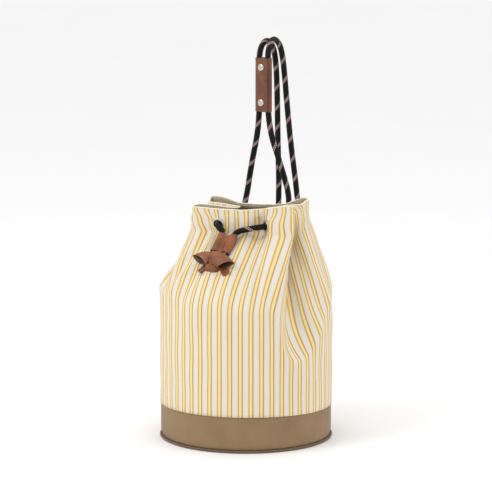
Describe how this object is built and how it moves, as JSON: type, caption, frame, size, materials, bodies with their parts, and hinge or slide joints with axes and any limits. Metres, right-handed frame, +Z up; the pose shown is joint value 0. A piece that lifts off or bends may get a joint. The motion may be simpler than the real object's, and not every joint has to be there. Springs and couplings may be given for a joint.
{
  "type": "bucket bag",
  "caption": "Round-based striped canvas bucket bag, its mouth drawn in by two ropes with a sliding cord lock, and a doubled rope shoulder strap.",
  "frame": {"origin": "centre of the base's underside, on the floor", "axes": "+Z up, -Y the front panel with the cord lock, +X the bag's right as seen from the front, and the strap hangs behind at +Y"},
  "size_m": [0.2398, 0.2921, 0.548],
  "materials": {
    "striped_canvas": "woven, matt",
    "khaki_canvas": "woven, matt",
    "piping": "bound edge, matt",
    "lining": "plain weave, matt",
    "board": "rough board",
    "rope": "braided, with one pale tracer",
    "leather": "smooth, semi-matt",
    "nickel": "polished"
  },
  "bodies": {
    "root": {"base_panel": "khaki_canvas", "base_board": "board", "base_band": "khaki_canvas", "bottom_piping": "piping", "outer_canvas": "striped_canvas", "lining": "lining", "lining_floor": "lining", "eyelet_front_left": "nickel", "eyelet_front_right": "nickel", "eyelet_rear_left": "nickel", "eyelet_rear_right": "nickel", "eyelet_base_left": "nickel", "eyelet_base_right": "nickel", "washer_front_left": "nickel", "washer_front_right": "nickel", "washer_rear_left": "nickel", "washer_rear_right": "nickel", "washer_base_left": "nickel", "washer_base_right": "nickel", "rope_left": "rope", "rope_right": "rope", "stopper_knot_left": "rope", "stopper_knot_right": "rope", "strap_wrap": "leather", "rivet_upper": "nickel", "rivet_lower": "nickel", "rivet_back_upper": "nickel", "rivet_back_lower": "nickel"},
    "toggle": {"cord_front_left": "rope", "cord_front_right": "rope", "bow_tie": "leather", "leather_bow": "leather"},
    "cord_lock": {"cord_lock": "leather"}
  },
  "joints": [
    {"name": "toggle_swing", "type": "hinge", "parent": "root", "child": "toggle", "pos_m": [0, -0.02, 0.297], "axis": [-1, 0, 0], "range_deg": [0, 110], "deforming": ["cord_front_left", "cord_front_right"]},
    {"name": "cord_lock_slide", "type": "slide", "parent": "toggle", "child": "cord_lock", "axis": [0.0976, 0.7439, 0.6611], "range_m": [0, 0.006], "deforming": ["cord_front_left", "cord_front_right"]}
  ]
}
